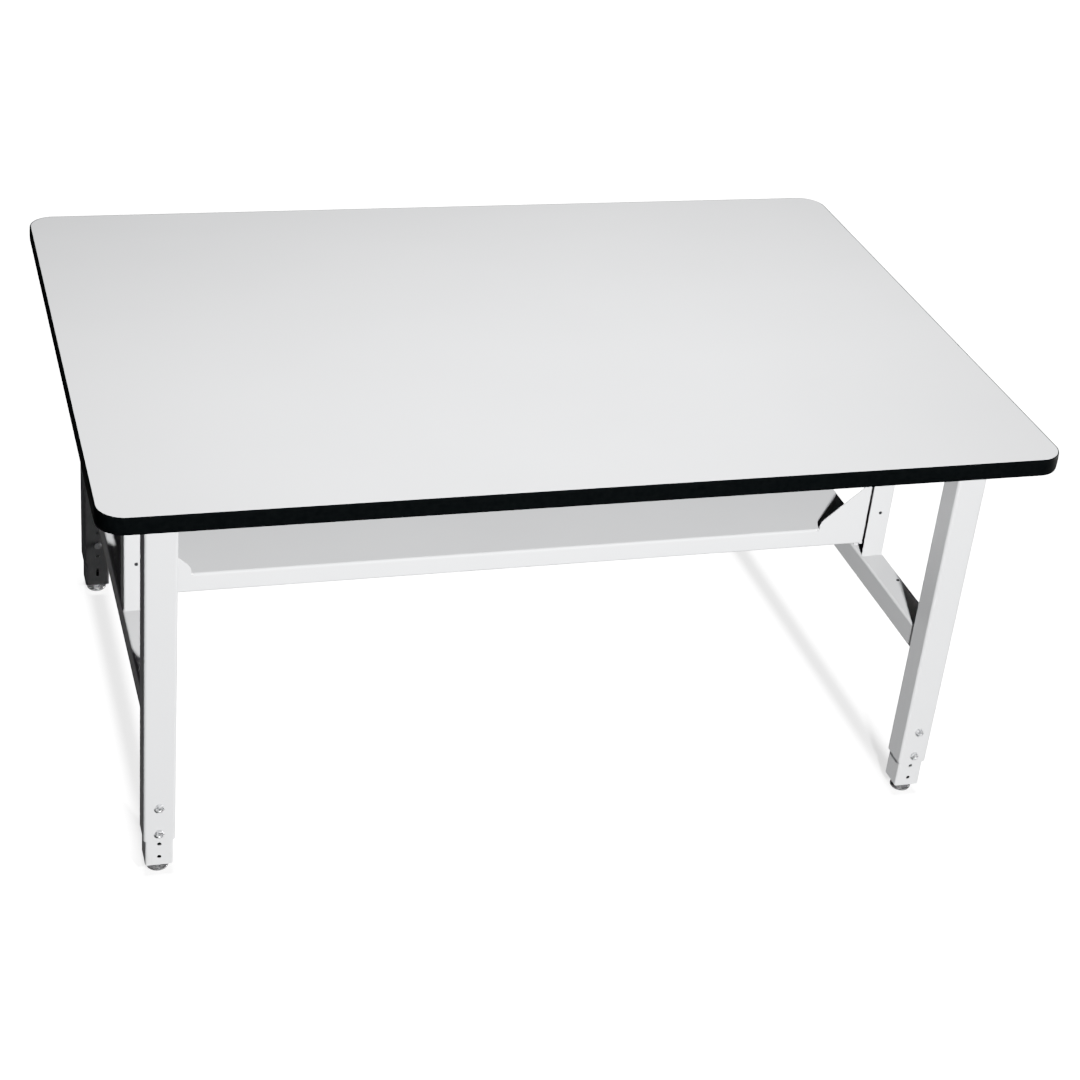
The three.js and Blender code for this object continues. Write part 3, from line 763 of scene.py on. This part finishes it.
def make_frame_fasteners(side):
    toward_middle = Vector((1 if side == "left" else -1, 0, 0))
    node = f"stringer_bolt_lower_{side}"
    size = box_size(node)
    bolt = hex_bolt(size.z, STRINGER_BOLT_HEAD, 6 * MM, size.x - STRINGER_BOLT_HEAD)
    for level in ("lower", "upper"):
        node = f"stringer_bolt_{level}_{side}"
        name = f"brace_bolt_{level}_{side}"
        seat_fastener(name, bolt, toward_middle, STRINGER_BOLT_HEAD, node, "zinc")
    bolt.free()

    size = box_size(f"top_screw_front_{side}")
    screw = pan_screw(size.x, TOP_SCREW_HEAD, 4.5 * MM, size.z - TOP_SCREW_HEAD)
    down = Vector((0, 0, -1))
    for row in SCREW_ROWS:
        node = f"top_screw_{row}_{side}"
        seat_fastener(f"worktop_screw_{row}_{side}", screw, down, TOP_SCREW_HEAD, node, "zinc")
    screw.free()

    size = box_size(f"rail_screw_{side}")
    small = pan_screw(size.y, SMALL_SCREW_HEAD, 4 * MM, size.z - SMALL_SCREW_HEAD)
    places = [
        ("rail_screw", "rail_cap_screw", Vector((0, 0, 1))),
        ("post_screw", "post_cap_screw", Vector((0, -1, 0))),
    ]
    for node, name, facing in places:
        seat_fastener(f"{name}_{side}", small, facing, SMALL_SCREW_HEAD, f"{node}_{side}", "steel")
    small.free()


# ---- levelling glides ----
PAD_FLAT = 7 * MM
PAD_RIM_BOTTOM = 6 * MM
PAD_RIM_TOP = 7.5 * MM
PAD_SOCKET = 5.05 * MM
PAD_SOCKET_FLOOR = 3 * MM
THREAD_PITCH = 1.5 * MM
THREAD_DEPTH = 0.75 * MM


def make_pad(where):
    node = f"glide_pad_{where}"
    low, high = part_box(node)
    rim = (high.x - low.x) / 2
    top = high.z - low.z
    dish = []
    for step in range(1, 13):
        angle = step / 12 * math.pi / 2
        radius = PAD_FLAT + (rim - PAD_FLAT) * math.sin(angle)
        dish.append(fixed_ring(radius, PAD_RIM_BOTTOM * (1 - math.cos(angle))))
    crown = []
    inner = PAD_SOCKET + 2.2 * MM
    for step in range(9):
        part = step / 8
        radius = (rim - 0.9 * MM) * (1 - part) + inner * part
        sag = math.sin(part * math.pi) * 0.45 * MM
        rise = (top - PAD_RIM_TOP - 0.6 * MM) * part
        crown.append(fixed_ring(radius, PAD_RIM_TOP + 0.35 * MM + rise - sag))
    bm = turned([
        fixed_ring(PAD_FLAT, 0),
        *dish,
        fixed_ring(rim, PAD_RIM_TOP - 0.3 * MM),
        fixed_ring(rim - 0.3 * MM, PAD_RIM_TOP + 0.2 * MM),
        *crown,
        fixed_ring(inner - 0.2 * MM, top),
        fixed_ring(PAD_SOCKET + 0.2 * MM, top),
        fixed_ring(PAD_SOCKET, top - 0.3 * MM),
        fixed_ring(PAD_SOCKET, PAD_SOCKET_FLOOR),
    ], around=72)
    middle = (low + high) / 2
    bmesh.ops.transform(bm, matrix=Matrix.Translation((middle.x, middle.y, low.z)), verts=bm.verts)
    fit_out(to_object(f"foot_pad_{where}", bm), "chrome", "chrome", f"pad_{where}", node)


def thread_ring(radius, depth, height):
    """One ring of a right-hand V thread."""
    def ring(angle):
        phase = (height / THREAD_PITCH - angle / (2 * math.pi)) % 1
        return radius - depth * abs(2 * phase - 1), height
    return ring


def make_stud(where):
    node = f"glide_stud_{where}"
    low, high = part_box(node)
    middle = (low + high) / 2
    radius = 4.75 * MM
    flats = high.x - low.x
    hex_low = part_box(f"glide_pad_{where}")[1].z + 0.3 * MM
    hex_high = hex_low + 5 * MM
    face = flats * 0.47
    neck = radius - THREAD_DEPTH
    rings = [
        fixed_ring(neck, low.z),
        fixed_ring(neck, hex_low),
        fixed_ring(face, hex_low),
        hexagon_ring(flats, hex_low + 0.5 * MM),
        hexagon_ring(flats, hex_high - 0.15 * MM, face),
        fixed_ring(face * 0.97, hex_high),
        fixed_ring(neck, hex_high),
    ]
    start, end = hex_high + 0.8 * MM, high.z - 1.2 * MM
    steps = round((end - start) / (THREAD_PITCH / 6))
    for step in range(steps + 1):
        height = start + (end - start) * step / steps
        taper = min(1, step / 6, (steps - step) / 6)
        crest = neck + (radius - neck) * taper
        rings.append(thread_ring(crest, THREAD_DEPTH * taper, height))
    rings.append(fixed_ring(neck, high.z - 1.0 * MM))
    rings.append(fixed_ring(neck - 1 * MM, high.z))
    bm = turned(rings, around=36)
    bmesh.ops.transform(bm, matrix=Matrix.Translation((middle.x, middle.y, 0)), verts=bm.verts)
    fit_out(to_object(f"foot_stud_{where}", bm), "zinc", "zinc", f"stud_{where}", node)


# ---- the whole table ----
def make_table():
    make_worktop()
    for end, side in CORNERS:
        where = f"{end}_{side}"
        outward = Vector((0, -1 if end == "front" else 1, 0))
        make_outer_leg(where, outward)
        make_inner_leg(where, outward)
        make_leg_bolts(where, outward)
        make_pad(where)
        make_stud(where)
        refined(f"foot_plug_{where}", f"leg_plug_{where}", "steel", "steel", f"leg_{where}")
    for side in SIDES:
        make_side_frame(side)
        make_welds(side)
        make_frame_fasteners(side)
        refined(f"fixing_plate_{side}", f"mounting_plate_{side}", "enamel", "enamel", "table", 0.5 * MM)
        refined(f"post_channel_{side}", f"stringer_post_{side}", "enamel", "enamel", "table")
    refined("cross_stringer", "stringer", "enamel", "enamel", "table", 0.35 * MM)
    core = frame["nodes"]["worktop_core"]
    core.data.materials.clear()
    core.data.materials.append(MATERIALS["chipboard"])


# ---- studio ----
STAGE_REACH = 40
FLOOR_GLOW = 0.76
FLOOR_PAINT = 0.3
BACKDROP_GLOW = 3.2
WORLD_STRENGTH = 0.01
KEY_PLACE = (0.1, -2.4, 1.65)
KEY_SIZE = (0.12, 0.12)
KEY_POWER = 16.6
SPARKLE_SIZE = (0.3, 0.3)
SPARKLE_POWER = 250
OVERHEAD_PLACE = (0.1, -0.2, 2.05)
OVERHEAD_SIZE = (2.4, 0.5)
OVERHEAD_POWER = 23
# The fills stand on the floor, below the rails, so that the shadows on upward faces stay deep.
FILL_SIZE = (2.4, 0.3)
FILLS = {
    "rear_fill": ((0.6, 3.2, 0.17), 60),
    "right_fill": ((3.4, 0.5, 0.17), 50),
    "left_fill": ((-3.4, 0.2, 0.17), 0.35),
}
BOUNCE_SIZE = (2.4, 1.6)
BOUNCE_POWER = 0.8
WASH_STRENGTH = 9.6
WASH_ANGLE = 7
PAPER_WHITE = 1.6
TONE_POINTS = ((0.05, 0.113), (0.19, 0.37), (0.39, 0.613), (0.625, 0.785), (0.85, 0.93))

# Pieces that the key light misses, and metal pieces that keep its highlight.
KEY_MISSES = ("leg_tube_rear_left", "telescope_tube_rear_left")
SHINY = ("leg_bolt", "lock_bolt", "foot_pad", "foot_stud")

CAMERA_PLACE = (-1.0594, -3.2582, 2.3554)
CAMERA_LENS = 74.82
CAMERA_TURN = {"heading": -19.243, "pitch": -30.645, "roll": 6.114}


def aim(obj, target):
    direction = Vector(target) - obj.location
    obj.rotation_mode = "QUATERNION"
    obj.rotation_quaternion = direction.to_track_quat("-Z", "Y")


def softbox(name, place, target, size, power):
    """A soft light that the camera itself doesn't see."""
    light = bpy.data.lights.new(name, "AREA")
    light.shape = "RECTANGLE"
    light.size, light.size_y = size
    light.energy = power
    lamp = bpy.data.objects.new(name, light)
    bpy.context.scene.collection.objects.link(lamp)
    lamp.location = place
    lamp.visible_camera = False
    aim(lamp, target)
    return lamp


def hold_strength(light):
    """Makes a lamp as strong on far pieces as on near ones, as a distant studio flash is."""
    light.use_nodes = True
    nodes = light.node_tree.nodes
    falloff = nodes.new("ShaderNodeLightFalloff")
    falloff.inputs["Strength"].default_value = 1
    light.node_tree.links.new(falloff.outputs["Constant"], nodes["Emission"].inputs["Strength"])


def group_of(name, objects):
    group = bpy.data.collections.new(name)
    for obj in objects:
        group.objects.link(obj)
    return group


def frame_shadow(floor):
    """The soft strips on the floor under the side frames: a light from above that only the frames block."""
    light = bpy.data.lights.new("floor_wash", "SUN")
    light.energy = WASH_STRENGTH
    light.angle = math.radians(WASH_ANGLE)
    lamp = bpy.data.objects.new("floor_wash", light)
    bpy.context.scene.collection.objects.link(lamp)
    frames = [obj for obj in bpy.context.scene.objects if obj.name.startswith(("lower_rail", "leg_tube"))]
    lamp.light_linking.receiver_collection = group_of("washed", [floor])
    lamp.light_linking.blocker_collection = group_of("washing_blockers", frames)


def stage_material(name, glow, paint):
    """A pale surface that takes soft shadows, seen from its front only."""
    material = bpy.data.materials.new(name)
    material.use_nodes = True
    tree = material.node_tree
    tree.nodes.clear()
    add = tree.nodes.new
    output, both, diffuse, emission = (add(f"ShaderNode{kind}") for kind in (
        "OutputMaterial", "AddShader", "BsdfDiffuse", "Emission"))
    clear, choose, geometry = (add(f"ShaderNode{kind}") for kind in (
        "BsdfTransparent", "MixShader", "NewGeometry"))
    diffuse.inputs["Color"].default_value = (paint, paint, paint, 1)
    emission.inputs["Color"].default_value = (1, 1, 1, 1)
    emission.inputs["Strength"].default_value = glow
    links = tree.links.new
    links(diffuse.outputs[0], both.inputs[0])
    links(emission.outputs[0], both.inputs[1])
    links(geometry.outputs["Backfacing"], choose.inputs["Fac"])
    links(both.outputs[0], choose.inputs[1])
    links(clear.outputs[0], choose.inputs[2])
    links(choose.outputs[0], output.inputs["Surface"])
    return material


def make_studio():
    low, high = CAD_BOX
    bm = bmesh.new()
    bmesh.ops.create_grid(bm, x_segments=1, y_segments=1, size=STAGE_REACH)
    floor = to_object("studio_floor", bm)
    floor.location.z = low.z - 0.1 * MM
    floor.data.materials.append(stage_material("floor_paint", FLOOR_GLOW, FLOOR_PAINT))
    bm = bmesh.new()
    bmesh.ops.create_icosphere(bm, subdivisions=4, radius=STAGE_REACH)
    bmesh.ops.reverse_faces(bm, faces=bm.faces)
    mesh = bpy.data.meshes.new("studio_backdrop")
    bm.to_mesh(mesh)
    bm.free()
    backdrop = bpy.data.objects.new("studio_backdrop", mesh)
    bpy.context.scene.collection.objects.link(backdrop)
    backdrop.data.materials.append(stage_material("backdrop_paint", BACKDROP_GLOW, 0.0))
    for surface in (floor, backdrop):
        surface.visible_glossy = False
        surface.visible_diffuse = False
        surface.visible_shadow = False

    world = bpy.data.worlds.new("studio")
    world.use_nodes = True
    background = world.node_tree.nodes["Background"]
    background.inputs["Color"].default_value = (0.95, 0.97, 1.0, 1)
    background.inputs["Strength"].default_value = WORLD_STRENGTH
    bpy.context.scene.world = world

    top = Vector((0, 0, high.z))
    middle = top / 2
    pieces = [obj for obj in bpy.context.scene.objects if obj.type == "MESH"]
    key = softbox("key", KEY_PLACE, middle, KEY_SIZE, KEY_POWER)
    hold_strength(key.data)
    key.visible_glossy = False
    lit = group_of("key_lit", [obj for obj in pieces if not obj.name.startswith(KEY_MISSES)])
    key.light_linking.receiver_collection = lit
    # The key's highlight is kept for the bolts and glides, so that the broad pieces don't glare from behind.
    sparkle = softbox("sparkle", KEY_PLACE, middle, SPARKLE_SIZE, SPARKLE_POWER)
    sparkle.visible_diffuse = False
    highlit = group_of("highlit", [obj for obj in pieces if obj.name.startswith(SHINY)])
    sparkle.light_linking.receiver_collection = highlit
    frame_shadow(floor)
    softbox("overhead", OVERHEAD_PLACE, top, OVERHEAD_SIZE, OVERHEAD_POWER)
    for name, (place, power) in FILLS.items():
        softbox(name, place, middle, FILL_SIZE, power)
    bounce = softbox("floor_bounce", (0, 0, low.z + MM), middle, BOUNCE_SIZE, BOUNCE_POWER)
    bounce.light_linking.receiver_collection = lit
    # The photograph's cut-out look: deep shadows, with no light thrown from piece to piece.
    bpy.context.scene.cycles.diffuse_bounces = 0
    tone_like_print(bpy.context.scene.view_settings)


def tone_like_print(view):
    """A soft shoulder, as in a printed product photograph, that reaches white a little above full light."""
    view.view_transform = "Standard"
    view.look = "None"
    view.use_curve_mapping = True
    mapping = view.curve_mapping
    mapping.white_level = (PAPER_WHITE, PAPER_WHITE, PAPER_WHITE)
    curve = mapping.curves[3]
    for place, value in TONE_POINTS:
        curve.points.new(place, value)
    mapping.update()


def make_camera():
    """A long lens in front and to the left, looking down on the table, rolled a little."""
    data = bpy.data.cameras.new("camera")
    data.sensor_width = 36
    data.lens = CAMERA_LENS
    data.clip_end = 200
    camera = bpy.data.objects.new("camera", data)
    bpy.context.scene.collection.objects.link(camera)
    heading, pitch, roll = (math.radians(CAMERA_TURN[name]) for name in ("heading", "pitch", "roll"))
    turn = Matrix.Rotation(heading, 4, "Z") @ Matrix.Rotation(math.pi / 2 + pitch, 4, "X")
    camera.matrix_world = Matrix.Translation(CAMERA_PLACE) @ turn @ Matrix.Rotation(roll, 4, "Z")
    bpy.context.scene.camera = camera


make_table()
make_studio()
make_camera()
